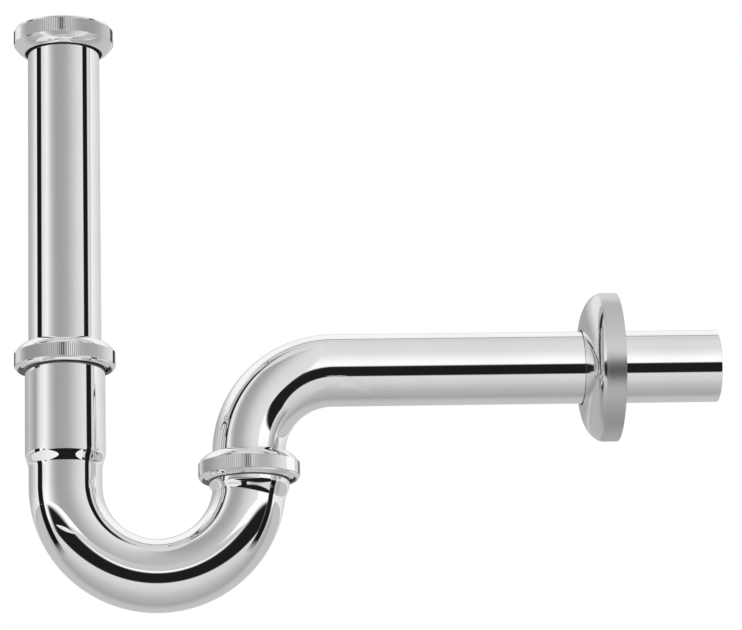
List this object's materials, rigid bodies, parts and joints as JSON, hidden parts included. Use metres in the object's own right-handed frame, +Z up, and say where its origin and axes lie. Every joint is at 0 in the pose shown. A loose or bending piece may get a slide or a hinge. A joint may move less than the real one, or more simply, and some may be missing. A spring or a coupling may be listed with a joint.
{
  "type": "basin trap",
  "caption": "Chrome tubular basin trap: inlet tail pipe with union nuts, U-bend with adjustable socket, swivelling swan-neck outlet pipe and a sliding wall rosette.",
  "frame": {"origin": "centre of the inlet washer's top face, the plane where the basin waste seats, on the inlet axis", "axes": "+Z up along the inlet tube's axis, +X from the inlet towards the wall along the outlet pipe"},
  "size_m": [0.3113, 0.066, 0.2658],
  "materials": {
    "chrome": "polished",
    "rosette_chrome": "satin",
    "rubber": "matte",
    "slip_plastic": "matte"
  },
  "bodies": {
    "inlet_nut_body": {"inlet_nut": "chrome"},
    "inlet_ring_body": {"inlet_slip_ring": "slip_plastic"},
    "inlet_tube_body": {"inlet_tube": "chrome", "inlet_washer": "rubber"},
    "adjust_seal_body": {"adjust_seal": "rubber"},
    "trap_body": {"trap_bend": "chrome", "socket_ferrule": "chrome", "outlet_ferrule": "chrome", "outlet_seal": "rubber"},
    "adjust_ring_body": {"adjust_slip_ring": "slip_plastic"},
    "adjust_nut_body": {"adjust_nut": "chrome"},
    "outlet_ring_body": {"outlet_slip_ring": "slip_plastic"},
    "outlet_nut_body": {"outlet_nut": "chrome"},
    "outlet_body": {"outlet_pipe": "chrome"},
    "rosette_body": {"wall_rosette": "rosette_chrome"}
  },
  "joints": [
    {"name": "inlet_nut_turn", "type": "hinge", "parent": "inlet_nut_body", "child": "inlet_ring_body", "pos_m": [0, 0, 0], "axis": [0, 0, 1], "continuous": true},
    {"name": "inlet_nut_slide", "type": "slide", "parent": "inlet_ring_body", "child": "inlet_tube_body", "axis": [0, 0, 1], "range_m": [0, 0.114]},
    {"name": "height_adjust", "type": "slide", "parent": "inlet_tube_body", "child": "adjust_seal_body", "axis": [0, 0, 1], "range_m": [-0.014, 0.014]},
    {"name": "trap_swivel", "type": "hinge", "parent": "adjust_seal_body", "child": "trap_body", "pos_m": [0, 0, 0], "axis": [0, 0, 1], "continuous": true},
    {"name": "adjust_nut_rise", "type": "slide", "parent": "trap_body", "child": "adjust_ring_body", "axis": [0, 0, 1], "range_m": [0, 0.0058]},
    {"name": "adjust_nut_turn", "type": "hinge", "parent": "adjust_ring_body", "child": "adjust_nut_body", "pos_m": [0, 0, 0], "axis": [0, 0, 1], "range_deg": [0, 900]},
    {"name": "outlet_nut_rise", "type": "slide", "parent": "trap_body", "child": "outlet_ring_body", "axis": [0, 0, 1], "range_m": [0, 0.0053]},
    {"name": "outlet_nut_turn", "type": "hinge", "parent": "outlet_ring_body", "child": "outlet_nut_body", "pos_m": [0.08, 0, 0], "axis": [0, 0, 1], "range_deg": [0, 820]},
    {"name": "outlet_swivel", "type": "hinge", "parent": "trap_body", "child": "outlet_body", "pos_m": [0.08, 0, 0], "axis": [0, 0, 1], "range_deg": [-135, 135]},
    {"name": "rosette_slide", "type": "slide", "parent": "outlet_body", "child": "rosette_body", "axis": [1, 0, 0], "range_m": [-0.08, 0.04]}
  ],
  "couplings": [
    {"joint": "adjust_nut_rise", "follows": "adjust_nut_turn", "m_per_rad": 0.00036749},
    {"joint": "outlet_nut_rise", "follows": "outlet_nut_turn", "m_per_rad": 0.00036749}
  ]
}
